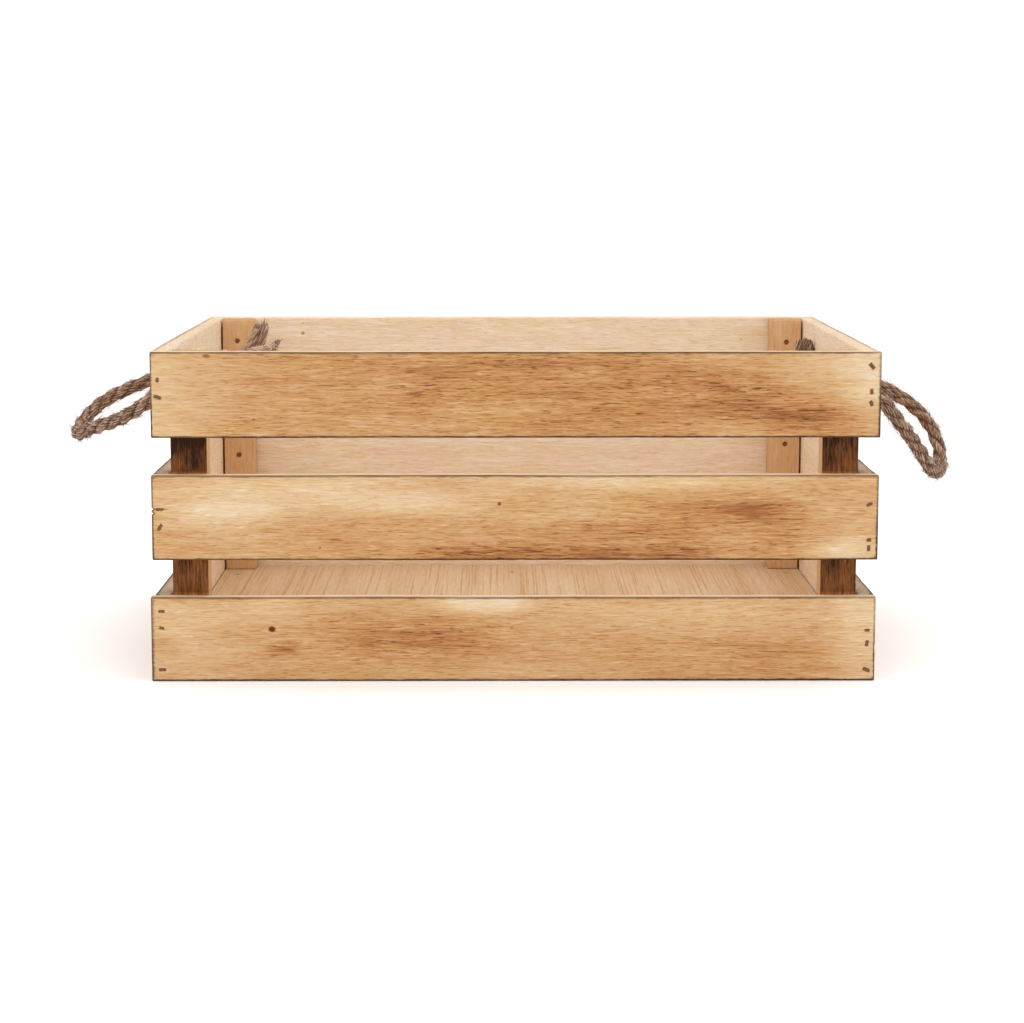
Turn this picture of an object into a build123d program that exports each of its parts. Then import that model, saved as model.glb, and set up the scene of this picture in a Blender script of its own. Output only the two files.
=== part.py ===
"""Small open slatted wooden crate with a rope handle at each end.

Millimetres, +Z up. The origin is the centre of the underside. X runs along the long slats,
the front is the -Y side. Three boards make each wall, and they are nailed at the corners to
each other's end grain and to a square post that stands inside each corner.
"""

import os
from math import radians, tan

from build123d import *

# Driving dimensions of the box
LENGTH = 400.0
DEPTH = 310.0
SLAT_HEIGHT = 47.5
SLAT_GAP = 20.4
LEVELS = ("bottom", "middle", "top")
HEIGHT = len(LEVELS) * SLAT_HEIGHT + (len(LEVELS) - 1) * SLAT_GAP
LONG_SLAT_THICK = 8.2
END_SLAT_THICK = 9.0
EASED_EDGE = 0.5

# Inside of the four walls
INNER_X = LENGTH / 2 - END_SLAT_THICK
INNER_Y = DEPTH / 2 - LONG_SLAT_THICK

# Floor: a thin panel on three bearers
BEARER_WIDTH = 20.0
BEARER_HEIGHT = 13.0
PANEL_THICK = 4.0
PANEL_PLAY = 0.5
FLOOR_Z = BEARER_HEIGHT + PANEL_THICK
BEARER_CENTRES = {
    "left": -(INNER_X - BEARER_WIDTH / 2),
    "middle": 0.0,
    "right": INNER_X - BEARER_WIDTH / 2,
}

# Corner posts stand on the floor panel and stop just under the rim
POST_WIDTH = 21.0
POST_DEPTH = 18.0
POST_DROP = 0.8
POST_X = INNER_X - POST_WIDTH / 2
POST_Y = INNER_Y - POST_DEPTH / 2

# Nails: a T-head nail leaves a short bar mark, a pin a round one
SHANK_RADIUS = 0.7
T_HEAD = (4.0, 1.2, 1.0)
PIN_HEAD_RADIUS = 1.1
PIN_HEAD_THICK = 1.0
HEAD_SINK = 0.4
T_NAIL_LENGTH = 24.0
POST_PIN_LENGTH = 23.0
FLOOR_PIN_LENGTH = 14.5
FOOT_PIN_LENGTH = 26.0

# Heights of the T-nails above each long slat's lower edge, with the turn of each bar head: 0 is
# level, and more turns it anticlockwise as seen from outside. They are hand driven, so no two
# ends are alike.
LONG_SLAT_NAILS = {
    "front": {
        "left": {
            "top": ((32.0, 80.0), (22.5, -20.0)),
            "middle": ((28.5, 0.0), (18.5, 60.0)),
            "bottom": ((39.5, 3.0), (30.0, -15.0), (6.5, 0.0)),
        },
        "right": {
            "top": ((39.5, -50.0), (25.5, 90.0), (19.0, -70.0)),
            "middle": ((31.0, 25.0), (11.0, 5.0), (6.5, 90.0)),
            "bottom": ((28.5, -8.0), (21.0, 80.0), (6.0, -25.0)),
        },
    },
    "rear": {
        "left": {
            "top": ((38.0, 15.0), (20.0, -70.0)),
            "middle": ((35.0, 60.0), (9.5, 5.0)),
            "bottom": ((37.0, -30.0), (24.0, 85.0), (7.0, 0.0)),
        },
        "right": {
            "top": ((36.5, -5.0), (26.5, 40.0), (8.0, 80.0)),
            "middle": ((32.0, -15.0), (11.0, 90.0)),
            "bottom": ((38.5, 70.0), (8.5, 10.0)),
        },
    },
}
# The same for the end slats, which are nailed into the posts
END_SLAT_NAILS = {"front": ((36.0, 20.0), (15.0, -60.0)), "rear": ((29.0, -35.0), (13.0, 75.0))}
BEARER_NAIL_Y = (-92.0, 4.0, 88.0)
BEARER_NAIL_TURNS = (10.0, 85.0, -40.0)
# Heights of the pins from each post into its long slats
POST_PIN_Z = {
    ("front", "left"): (24.5, 97.0, 166.0),
    ("front", "right"): (27.0, 90.5, 169.5),
    ("rear", "left"): (25.0, 93.4, 168.7),
    ("rear", "right"): (31.5, 100.3, 167.6),
}
FLOOR_PIN_Y = {
    "left": (-112.0, 6.0, 109.0),
    "middle": (-120.0, -3.0, 117.0),
    "right": (-107.0, -4.0, 113.0),
}
# The pins up into the posts stand this far inwards of the bearer's middle, clear of the others
FOOT_PIN_SHIFT = 5.0

# Rope handles
ROPE_DIAMETER = 8.5
ROPE_RADIUS = ROPE_DIAMETER / 2
ROPE_HOLE_RADIUS = 5.2
ROPE_HOLE_Y = 70.0
ROPE_HOLE_Z = 155.0
HANDLE_CLEARANCE = 0.3
HANDLE_AXIS_X = LENGTH / 2 + ROPE_RADIUS + HANDLE_CLEARANCE
KNOT_RADIUS = 11.0
KNOT_LENGTH = 17.0
KNOT_ROUNDING = 7.0
TAIL_END_RADIUS = 7.0

# Each handle's rope, from its front hole round to its rear hole. The left one stands out from
# the end wall, the right one droops to a tight turn.
LEFT_ROUTE = (
    (-HANDLE_AXIS_X, -ROPE_HOLE_Y, ROPE_HOLE_Z),
    (-216.0, -63.0, 146.5),
    (-234.0, -46.0, 135.0),
    (-254.0, -25.0, 125.5),
    (-265.5, -6.0, 121.0),
    (-265.5, 18.0, 125.0),
    (-254.5, 40.0, 136.5),
    (-230.0, 61.5, 149.0),
    (-HANDLE_AXIS_X, ROPE_HOLE_Y, ROPE_HOLE_Z),
)
RIGHT_ROUTE = (
    (HANDLE_AXIS_X, -ROPE_HOLE_Y, ROPE_HOLE_Z),
    (214.0, -64.5, 149.5),
    (226.5, -51.5, 134.0),
    (241.0, -32.5, 117.0),
    (255.5, -10.5, 97.0),
    (264.0, 9.5, 98.5),
    (264.5, 27.0, 116.5),
    (257.5, 41.5, 130.5),
    (240.0, 58.0, 142.0),
    (222.0, 67.0, 149.0),
    (HANDLE_AXIS_X, ROPE_HOLE_Y, ROPE_HOLE_Z),
)
# Where each knot's frayed tail ends, measured from the middle of the knot: inwards, along Y, up
KNOT_TAILS = {
    ("left", "front"): (16.0, 14.0, 6.0),
    ("left", "rear"): (22.0, 1.0, 20.0),
    ("right", "front"): (19.0, -9.0, 4.0),
    ("right", "rear"): (4.0, 3.0, 17.0),
}

SIDE_X = {"left": -1, "right": 1}
SIDE_Y = {"front": -1, "rear": 1}


def slat_bottom(level):
    """Height of the lower edge of the slats at that level."""
    return LEVELS.index(level) * (SLAT_HEIGHT + SLAT_GAP)


def eased_board(size_x, size_y, size_z):
    """A sawn board with its arrises taken off, centred on its own middle."""
    board = Box(size_x, size_y, size_z)
    return fillet(board.edges(), EASED_EDGE)


def long_slat(side, level):
    """A front or rear slat: full length, covering the ends of the end slats."""
    board = eased_board(LENGTH, LONG_SLAT_THICK, SLAT_HEIGHT)
    y = SIDE_Y[side] * (DEPTH - LONG_SLAT_THICK) / 2
    return Pos(0, y, slat_bottom(level) + SLAT_HEIGHT / 2) * board


def end_slat(side, level):
    """A left or right slat, held between the long ones. The top one has the two rope holes."""
    board = eased_board(END_SLAT_THICK, 2 * INNER_Y, SLAT_HEIGHT)
    x = SIDE_X[side] * (LENGTH - END_SLAT_THICK) / 2
    board = Pos(x, 0, slat_bottom(level) + SLAT_HEIGHT / 2) * board
    if level == "top":
        for y in (-ROPE_HOLE_Y, ROPE_HOLE_Y):
            hole = Cylinder(ROPE_HOLE_RADIUS, 2 * END_SLAT_THICK, rotation=(0, 90, 0))
            board -= Pos(x, y, ROPE_HOLE_Z) * hole
    return board


def corner_post(side_x, side_y):
    """A square post inside one corner, from the floor panel to just under the rim."""
    height = HEIGHT - POST_DROP - FLOOR_Z
    post = eased_board(POST_WIDTH, POST_DEPTH, height)
    return Pos(SIDE_X[side_x] * POST_X, SIDE_Y[side_y] * POST_Y, FLOOR_Z + height / 2) * post


def bottom_panel():
    """The thin sheet that the load rests on."""
    sheet = Box(2 * (INNER_X - PANEL_PLAY), 2 * (INNER_Y - PANEL_PLAY), PANEL_THICK)
    return Pos(0, 0, BEARER_HEIGHT + PANEL_THICK / 2) * sheet


def floor_bearer(name):
    """A batten under the panel, running from front to rear."""
    batten = eased_board(BEARER_WIDTH, 2 * INNER_Y, BEARER_HEIGHT)
    return Pos(BEARER_CENTRES[name], 0, BEARER_HEIGHT / 2) * batten


def below(shape_height, top):
    """Moves a shape that is centred on its own middle so that its upper end is at that height."""
    return Pos(0, 0, top - shape_height / 2)


def t_nail(surface, outward, turn):
    """A T-head nail sunk into a surface, and the space that it takes out of the wood."""
    bar, across, thick = T_HEAD
    head = below(thick, -HEAD_SINK) * Box(bar, across, thick)
    shank = below(T_NAIL_LENGTH, -HEAD_SINK - thick / 2) * Cylinder(SHANK_RADIUS, T_NAIL_LENGTH)
    mouth = below(2 * HEAD_SINK, HEAD_SINK) * Box(bar, across, 2 * HEAD_SINK)
    level = Vector(0, 0, 1).cross(Vector(*outward))
    place = Plane(origin=surface, x_dir=level, z_dir=outward).location * Rot(0, 0, turn)
    nail = head + shank
    return place * nail, place * (nail + mouth)


def pin(surface, outward, length):
    """A round-headed panel pin sunk into a surface, and the space that it takes."""
    head = below(PIN_HEAD_THICK, -HEAD_SINK) * Cylinder(PIN_HEAD_RADIUS, PIN_HEAD_THICK)
    shank = below(length, -HEAD_SINK - PIN_HEAD_THICK / 2) * Cylinder(SHANK_RADIUS, length)
    mouth = below(2 * HEAD_SINK, HEAD_SINK) * Cylinder(PIN_HEAD_RADIUS, 2 * HEAD_SINK)
    place = Plane(origin=surface, z_dir=outward).location
    nail = head + shank
    return place * nail, place * (nail + mouth)


def long_slat_nails(side):
    """T-nails through the ends of the front or rear slats into the end slats' end grain."""
    nails = []
    x = (LENGTH - END_SLAT_THICK) / 2
    outward = (0, SIDE_Y[side], 0)
    for end, by_level in LONG_SLAT_NAILS[side].items():
        for level, marks in by_level.items():
            for height, turn in marks:
                at = (SIDE_X[end] * x, SIDE_Y[side] * DEPTH / 2, slat_bottom(level) + height)
                nails.append(t_nail(at, outward, turn))
    return nails


def end_slat_nails(side):
    """T-nails through the end slats into the posts, and through the lowest into its bearer."""
    nails = []
    outward = (SIDE_X[side], 0, 0)
    x = SIDE_X[side] * LENGTH / 2
    for corner, marks in END_SLAT_NAILS.items():
        for level in LEVELS:
            for height, turn in marks:
                at = (x, SIDE_Y[corner] * POST_Y, slat_bottom(level) + height)
                if at[2] > FLOOR_Z:
                    nails.append(t_nail(at, outward, turn))
    for y, turn in zip(BEARER_NAIL_Y, BEARER_NAIL_TURNS):
        nails.append(t_nail((x, y, BEARER_HEIGHT / 2), outward, turn))
    return nails


def post_pins():
    """Pins from inside the crate through each post into its front or rear slats."""
    nails = []
    for (corner_y, corner_x), heights in POST_PIN_Z.items():
        y = SIDE_Y[corner_y] * (INNER_Y - POST_DEPTH)
        for z in heights:
            at = (SIDE_X[corner_x] * POST_X, y, z)
            nails.append(pin(at, (0, -SIDE_Y[corner_y], 0), POST_PIN_LENGTH))
    return nails


def floor_pins():
    """Pins down through the panel into the bearers, and up through them into the posts."""
    nails = []
    for name, places in FLOOR_PIN_Y.items():
        for y in places:
            at = (BEARER_CENTRES[name], y, FLOOR_Z)
            nails.append(pin(at, (0, 0, 1), FLOOR_PIN_LENGTH))
    for side_x in SIDE_X.values():
        for side_y in SIDE_Y.values():
            at = (side_x * (BEARER_CENTRES["right"] - FOOT_PIN_SHIFT), side_y * POST_Y, 0)
            nails.append(pin(at, (0, 0, -1), FOOT_PIN_LENGTH))
    return nails


def tube_radii(route):
    """The largest arcs that the runs of a rope's route leave room for, one for each corner."""
    points = [Vector(*p) for p in route]
    radii = []
    for before, corner, after in zip(points, points[1:], points[2:]):
        run_in, run_out = corner - before, after - corner
        half_turn = radians(run_in.get_angle(run_out)) / 2
        radii.append(0.45 * min(run_in.length, run_out.length) / tan(half_turn))
    return radii


def rope_loop(name, route):
    """A handle's rope outside the crate, with a ball at each end where it swings."""
    radii = tube_radii(route)
    path = FilletPolyline(*route, radius=radii)
    section = Plane(origin=path @ 0, z_dir=path % 0) * Circle(ROPE_RADIUS)
    tube = sweep(section, path=path)
    expected = section.area * path.length
    print(name, "radii", [round(r, 1) for r in radii], "length", round(path.length, 1))
    print(name, "volume over section times length", round(tube.volume / expected, 4))
    for end in (route[0], route[-1]):
        tube += Pos(*end) * Sphere(ROPE_RADIUS)
    return tube


def rope_knot(side_x, side_y):
    """The stopper knot inside the end wall, its frayed tail, and the rope through the hole."""
    out = SIDE_X[side_x]
    y = SIDE_Y[side_y] * ROPE_HOLE_Y
    knot = fillet(Cylinder(KNOT_RADIUS, KNOT_LENGTH).edges(), KNOT_ROUNDING)
    middle = Vector(out * (INNER_X - KNOT_LENGTH / 2), y, ROPE_HOLE_Z)
    knot = Pos(*middle) * Rot(0, 90, 0) * knot
    stub = Cylinder(ROPE_RADIUS, END_SLAT_THICK + KNOT_LENGTH / 2, rotation=(0, 90, 0))
    knot += Pos(out * (LENGTH / 2 - (END_SLAT_THICK + KNOT_LENGTH / 2) / 2), y, ROPE_HOLE_Z) * stub
    inwards, along, up = KNOT_TAILS[side_x, side_y]
    reach = Vector(-out * inwards, along, up)
    brush = Cone(ROPE_RADIUS, TAIL_END_RADIUS, reach.length, align=(Align.CENTER, Align.CENTER, Align.MIN))
    return knot + Plane(origin=middle, z_dir=reach).location * brush


def drilled(board, cutters):
    """The board with every nail that reaches it taken out of its wood."""
    box = board.bounding_box()
    near = []
    for cutter in cutters:
        other = cutter.bounding_box()
        apart = (
            other.min.X > box.max.X or other.max.X < box.min.X
            or other.min.Y > box.max.Y or other.max.Y < box.min.Y
            or other.min.Z > box.max.Z or other.max.Z < box.min.Z
        )
        if not apart:
            near.append(cutter)
    return board - near if near else board


def build():
    """Every node of the crate by name."""
    nail_groups = {
        "front_slat_nails": long_slat_nails("front"),
        "rear_slat_nails": long_slat_nails("rear"),
        "left_end_slat_nails": end_slat_nails("left"),
        "right_end_slat_nails": end_slat_nails("right"),
        "corner_post_pins": post_pins(),
        "floor_pins": floor_pins(),
    }
    cutters = [cutter for group in nail_groups.values() for _, cutter in group]
    wood = {"bottom_panel": bottom_panel()}
    for level in LEVELS:
        for side in SIDE_Y:
            wood[f"{side}_slat_{level}"] = long_slat(side, level)
        for side in SIDE_X:
            wood[f"{side}_end_slat_{level}"] = end_slat(side, level)
    for side_y in SIDE_Y:
        for side_x in SIDE_X:
            wood[f"corner_post_{side_y}_{side_x}"] = corner_post(side_x, side_y)
    for name in BEARER_CENTRES:
        wood[f"floor_bearer_{name}"] = floor_bearer(name)
    nodes = {name: drilled(board, cutters) for name, board in wood.items()}
    for name, group in nail_groups.items():
        nodes[name] = Compound(children=[solid for nail, _ in group for solid in nail.solids()])
    nodes["left_rope_loop"] = rope_loop("left_rope_loop", LEFT_ROUTE)
    nodes["right_rope_loop"] = rope_loop("right_rope_loop", RIGHT_ROUTE)
    for side_x in SIDE_X:
        for side_y in SIDE_Y:
            nodes[f"{side_x}_rope_knot_{side_y}"] = rope_knot(side_x, side_y)
    return nodes


os.makedirs("parts", exist_ok=True)
for node, shape in build().items():
    export_step(shape, f"parts/{node}.step")
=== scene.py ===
"""The looks of the slatted wooden crate: camera, rope handles, knots, boards, nails and light.

The scene is in metres in the row frame. Boards and ropes are shaped in millimetres, from the
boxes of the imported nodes, and scaled when they become meshes.
"""

import math

import bpy
import numpy as np
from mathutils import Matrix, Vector


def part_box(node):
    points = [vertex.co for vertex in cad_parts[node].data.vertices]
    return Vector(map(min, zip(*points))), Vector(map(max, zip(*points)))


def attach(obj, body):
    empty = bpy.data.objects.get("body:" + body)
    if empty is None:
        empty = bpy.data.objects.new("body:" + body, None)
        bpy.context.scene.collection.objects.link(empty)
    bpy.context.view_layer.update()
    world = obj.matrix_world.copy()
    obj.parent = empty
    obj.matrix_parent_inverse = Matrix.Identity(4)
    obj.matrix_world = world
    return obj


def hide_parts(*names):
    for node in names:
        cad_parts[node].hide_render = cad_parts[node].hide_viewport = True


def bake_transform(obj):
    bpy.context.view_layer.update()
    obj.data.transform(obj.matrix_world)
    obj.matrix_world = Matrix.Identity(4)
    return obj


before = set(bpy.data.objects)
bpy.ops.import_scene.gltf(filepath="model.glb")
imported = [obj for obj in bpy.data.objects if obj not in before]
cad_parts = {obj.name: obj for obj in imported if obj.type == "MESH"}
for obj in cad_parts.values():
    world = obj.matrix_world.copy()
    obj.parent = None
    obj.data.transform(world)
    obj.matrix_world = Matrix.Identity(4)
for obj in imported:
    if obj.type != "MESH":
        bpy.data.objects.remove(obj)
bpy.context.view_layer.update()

MM = 0.001
SIDE_X = {"left": -1, "right": 1}
SIDE_Y = {"front": -1, "rear": 1}
LEVELS = ("bottom", "middle", "top")


def scene_object(name, data):
    """An object in the scene that shows the data."""
    made = bpy.data.objects.new(name, data)
    bpy.context.scene.collection.objects.link(made)
    return made


# ---- camera
CAMERA_PLACE = (-0.0088, -1.545, 0.2893)
CAMERA_DOWN = 7.95
CAMERA_RIGHT = 0.30
CAMERA_LENS = 89.6


def make_camera():
    """Straight on to the front, from a little above the rim, with a long lens."""
    data = bpy.data.cameras.new("camera")
    data.sensor_width = 36.0
    data.lens = CAMERA_LENS
    data.clip_start, data.clip_end = 0.05, 60.0
    camera = scene_object("camera", data)
    camera.location = CAMERA_PLACE
    camera.rotation_euler = (math.radians(90 - CAMERA_DOWN), 0, math.radians(-CAMERA_RIGHT))
    bpy.context.scene.camera = camera


# ---- noise on points
def lattice_value(ix, iy, iz, seed):
    """A number from -1 to 1 for each lattice point, the same on every run."""
    h = (ix * 73856093) ^ (iy * 19349663) ^ (iz * 83492791) ^ (seed * 2654435)
    h = ((h ^ (h >> 13)) * 1274126177) & 0x7FFFFFFF
    h = ((h ^ (h >> 16)) * 668265263) & 0x7FFFFFFF
    return h / 0x3FFFFFFF - 1.0


def smooth_noise(points, cell, seed):
    """Value noise from -1 to 1 whose blobs are cell wide (one number, or one for each axis)."""
    q = np.asarray(points, float) / np.asarray(cell, float) + 512.37
    low = np.floor(q).astype(np.int64)
    f = q - low
    f = f * f * (3 - 2 * f)
    total = np.zeros(len(q))
    for corner in np.ndindex(2, 2, 2):
        weight = np.prod(np.where(corner, f, 1 - f), axis=1)
        total += weight * lattice_value(*(low + corner).T, seed)
    return total


def ease(x, low, high):
    """0 below low, 1 above high, smooth between. high may be below low."""
    t = np.clip((x - low) / (high - low), 0, 1)
    return t * t * (3 - 2 * t)


def full_turn(count):
    """The angles of a full turn in so many equal steps."""
    return np.arange(count) * 2 * np.pi / count


# ---- meshes
def mesh_object(name, points_mm, faces, material, sharp_degrees=None):
    """A smooth-shaded mesh object made from points in millimetres."""
    mesh = bpy.data.meshes.new(name)
    faces = [f for block in faces for f in np.asarray(block).tolist()]
    mesh.from_pydata((np.asarray(points_mm) * MM).tolist(), [], faces)
    mesh.polygons.foreach_set("use_smooth", [True] * len(mesh.polygons))
    if sharp_degrees is not None:
        mesh.set_sharp_from_angle(angle=math.radians(sharp_degrees))
    mesh.materials.append(material)
    return scene_object(name, mesh)


def add_attribute(made, name, values, domain="POINT"):
    """Stores one number, or one vector, for each point or face of the mesh."""
    values = np.asarray(values, np.float32)
    kind, key = ("FLOAT_VECTOR", "vector") if values.ndim == 2 else ("FLOAT", "value")
    layer = made.data.attributes.new(name, kind, domain)
    layer.data.foreach_set(key, values.ravel())


# ---- material helpers
def srgb(r, g, b):
    """A colour given as 0 to 255 display values, in linear light."""
    def linear(c):
        c /= 255
        return c / 12.92 if c <= 0.04045 else ((c + 0.055) / 1.055) ** 2.4
    return (linear(r), linear(g), linear(b), 1.0)


class Graph:
    """Short names for the shader nodes that the materials share."""

    def __init__(self, name):
        self.material = bpy.data.materials.new(name)
        self.material.use_nodes = True
        self.tree = self.material.node_tree
        self.shader = self.tree.nodes["Principled BSDF"]

    def node(self, kind, inputs=None, **settings):
        made = self.tree.nodes.new("ShaderNode" + kind)
        for key, value in settings.items():
            setattr(made, key, value)
        for key, value in (inputs or {}).items():
            self.put(made.inputs[key], value)
        return made

    def put(self, socket, value):
        if isinstance(value, bpy.types.NodeSocket):
            self.tree.links.new(value, socket)
        else:
            socket.default_value = value

    def attribute(self, name, output="Fac"):
        return self.node("Attribute", attribute_name=name).outputs[output]

    def maths(self, operation, a, b=0.0, c=0.0):
        return self.node("Math", {0: a, 1: b, 2: c}, operation=operation).outputs[0]

    def add(self, a, b):
        return self.maths("ADD", a, b)

    def times(self, a, b):
        return self.maths("MULTIPLY", a, b)

    def about(self, value, middle, gain):
        """How far a value is from its middle, times a gain."""
        return self.maths("MULTIPLY_ADD", value, gain, -middle * gain)

    def vector(self, operation, a, b):
        return self.node("VectorMath", {0: a, 1: b}, operation=operation).outputs[0]

    def noise(self, place, size, detail=2.0, rough=0.5, output="Fac"):
        """Noise whose blobs are as large as size says, one length for each axis."""
        place = self.vector("MULTIPLY", place, [1 / s for s in size])
        inputs = {"Vector": place, "Scale": 1.0, "Detail": detail, "Roughness": rough}
        return self.node("TexNoise", inputs).outputs[output]

    def step(self, value, low, high):
        """0 at low, 1 at high, smooth between."""
        inputs = {
            "Value": value,
            "From Min": min(low, high),
            "From Max": max(low, high),
            "To Min": float(low > high),
            "To Max": float(low < high),
        }
        return self.node("MapRange", inputs, interpolation_type="SMOOTHSTEP").outputs["Result"]

    def ramp(self, value, stops):
        """Colours along a value, as (place, colour) pairs."""
        made = self.node("ValToRGB")
        elements = made.color_ramp.elements
        elements.remove(elements[1])
        elements[0].position, elements[0].color = stops[0]
        for place, colour in stops[1:]:
            elements.new(place).color = colour
        self.put(made.inputs["Fac"], value)
        return made.outputs["Color"]

    def blend(self, amount, a, b, kind="MIX"):
        made = self.node("Mix", {"Factor": amount, 6: a, 7: b}, data_type="RGBA", blend_type=kind)
        return made.outputs[2]

    def bump(self, height, distance, strength=1.0):
        inputs = {"Height": height, "Distance": distance, "Strength": strength}
        return self.node("Bump", inputs).outputs["Normal"]

    def finish(self, colour, roughness, normal, specular=0.3):
        self.put(self.shader.inputs["Base Color"], colour)
        self.put(self.shader.inputs["Roughness"], roughness)
        self.put(self.shader.inputs["Normal"], normal)
        self.shader.inputs["Specular IOR Level"].default_value = specular
        return self.material


# ---- wood
WOOD_TONES = (
    (0.00, srgb(248, 235, 221)),
    (0.12, srgb(233, 208, 175)),
    (0.24, srgb(222, 187, 146)),
    (0.42, srgb(207, 161, 111)),
    (0.58, srgb(190, 136, 84)),
    (0.74, srgb(160, 104, 58)),
    (0.88, srgb(114, 72, 40)),
    (1.00, srgb(52, 29, 15)),
)
VENEER = (0.80, 0.82, 0.86, 1.0)
# colour of the arris line: torch burn, with painted shade on the lower arrises
BURN_AND_SHADE_EDGE = srgb(64, 38, 22)
# toasted tint of torched wood, also laid at half strength on the top faces as painted shade
TOAST_AND_TOP_SHADE = (0.85, 0.79, 0.685, 1.0)
GOLDEN = (1.0, 1.0, 0.93, 1.0)
ROSY = (1.0, 0.98, 1.01, 1.0)
TOP_SHADE_GREY = (0.50, 0.43, 0.41, 1.0)


def wood_grain(g, place):
    """The grain place bent into the long waves and small kinks of real fibres."""
    bent = place
    for size, reach in (((85.0, 24.0, 24.0), 5.0), ((13.0, 5.0, 5.0), 0.8)):
        shift = g.vector("SUBTRACT", g.noise(place, size, 1.0, output="Color"), (0.5, 0.5, 0.5))
        bent = g.vector("ADD", bent, g.vector("MULTIPLY", shift, (0.0, reach, reach)))
    return bent


def slat_wood(name, base=0.09, calm=None, char=0.0, specular=0.25):
    """Sawn boards gone over with a torch: golden clouds and streaks outside, clean wood inside.

    Where the scorch is above calm the wood is so dark that its figure is lost, and char mottles it.
    """
    g = Graph(name)
    place = g.attribute("grain", "Vector")
    burn = g.attribute("burn")
    fibre = wood_grain(g, place)
    apart = g.vector("ADD", fibre, (31.0, 7.0, 3.0))
    bands = g.noise(fibre, (110.0, 7.0, 7.0), 3.0, 0.6)
    figure = g.noise(fibre, (18.0, 1.05, 1.05), 3.0, 0.66)
    fine = g.noise(fibre, (9.0, 0.42, 0.42), 1.0)
    pores = g.step(g.noise(fibre, (6.5, 0.60, 0.60), 1.0), 0.58, 0.68)
    flecks = g.step(g.noise(apart, (8.5, 0.8, 0.8), 1.0), 0.60, 0.70)

    # The darker the scorch, the stronger the figure in it, up to calm
    cloud = g.noise(place, (38.0, 13.0, 13.0), 3.0)
    scorch = g.add(burn, g.times(g.about(cloud, 0.5, 0.7), burn))
    contrast = g.maths("MULTIPLY_ADD", scorch, 0.72, 0.30)
    if calm is not None:
        left = g.maths("MULTIPLY_ADD", g.step(scorch, calm, calm - 0.35), 0.8, 0.2)
        contrast = g.times(contrast, left)
    tone = g.maths("MULTIPLY_ADD", scorch, 0.55, base)
    for layer in (
        g.about(bands, 0.5, 0.44),
        g.about(figure, 0.5, 0.92),
        g.about(fine, 0.5, 0.30),
        g.times(pores, 0.28),
        g.times(flecks, -0.15),
    ):
        tone = g.add(tone, g.times(layer, contrast))
    end_grain = g.maths("MULTIPLY_ADD", g.noise(place, (3.0, 2.2, 2.2), 3.0, 0.7), 0.5, -0.08)
    tone = g.add(tone, g.times(g.attribute("end"), end_grain))
    if char:
        mottle = g.about(g.noise(place, (9.0, 1.3, 1.3), 3.0, 0.7), 0.5, char)
        tone = g.add(tone, g.times(g.step(scorch, 0.35, 0.75), mottle))

    # Tints over the tones, then the dark line along the arrises: torch burn, made darker on the lower
    # arrises with painted shade
    colour = g.ramp(tone, WOOD_TONES)
    hue = g.noise(g.vector("ADD", place, (500.0, 90.0, 40.0)), (60.0, 17.0, 17.0), 2.0)
    for amount, tint in (
        (g.step(hue, 0.50, 0.68), GOLDEN),
        (g.step(hue, 0.50, 0.32), ROSY),
        # torched faces toasted, and the top faces dimmed with painted shade
        (g.attribute("toast_and_top_shade"), TOAST_AND_TOP_SHADE),
        # grey painted shade on the top faces
        (g.attribute("top_shade"), TOP_SHADE_GREY),
    ):
        colour = g.blend(amount, colour, tint, "MULTIPLY")
    uneven = g.about(g.noise(place, (9.0, 2.0, 2.0), 3.0, 0.7), 0.5, 1.6)
    near_arris = g.step(g.add(g.attribute("edge"), uneven), 1.55, 0.45)
    colour = g.blend(g.times(near_arris, g.attribute("line")), colour, BURN_AND_SHADE_EDGE)
    height = g.add(g.times(figure, 0.6), g.times(pores, -0.5))
    roughness = g.maths("MULTIPLY_ADD", figure, 0.25, 0.48)
    return g.finish(colour, roughness, g.bump(height, 0.00016, 0.8), specular)


def panel_wood(name):
    """The thin floor sheet: pale veneer with fine dark grooves along the grain."""
    g = Graph(name)
    place = g.attribute("grain", "Vector")
    fibre = wood_grain(g, place)
    bands = g.noise(fibre, (260.0, 22.0, 22.0), 2.0)
    grooves = g.noise(g.vector("MULTIPLY", place, (1.0, 1.0, 0.0)), (230.0, 1.25, 1.0), 2.0, 0.6)
    lines = g.step(grooves, 0.52, 0.64)
    fine = g.noise(fibre, (22.0, 0.8, 0.8), 2.0, 0.6)
    tone = g.add(g.about(bands, 0.5, 0.30), g.about(fine, 0.5, 0.30))
    tone = g.add(g.add(tone, 0.27), g.times(lines, 0.17))
    tone = g.add(tone, g.times(g.attribute("burn"), 0.4))
    colour = g.blend(1.0, g.ramp(tone, WOOD_TONES), VENEER, "MULTIPLY")
    normal = g.bump(g.add(g.times(lines, -1.0), g.times(fine, 0.5)), 0.00012, 0.8)
    return g.finish(colour, g.maths("MULTIPLY_ADD", fine, 0.2, 0.55), normal, 0.25)


RUST_TONES = (
    (0.36, srgb(80, 52, 34)),
    (0.52, srgb(120, 86, 58)),
    (0.64, srgb(112, 70, 42)),
)


def nail_steel(name):
    """Blued nail heads with a bloom of rust."""
    g = Graph(name)
    place = g.vector("MULTIPLY", g.node("TexCoord").outputs["Object"], [1 / MM] * 3)
    rust = g.noise(place, (1.1, 1.1, 1.1), 4.0, 0.7)
    colour = g.ramp(rust, RUST_TONES)
    g.shader.inputs["Metallic"].default_value = 0.15
    normal = g.bump(g.noise(place, (0.35, 0.35, 0.35), 3.0), 0.00006)
    return g.finish(colour, g.maths("MULTIPLY_ADD", rust, 0.5, 0.3), normal, 0.5)


JUTE_TONES = (
    (0.02, srgb(74, 48, 35)),
    (0.28, srgb(118, 86, 67)),
    (0.50, srgb(154, 122, 100)),
    (0.72, srgb(190, 162, 138)),
    (1.00, srgb(222, 202, 180)),
)


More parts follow.
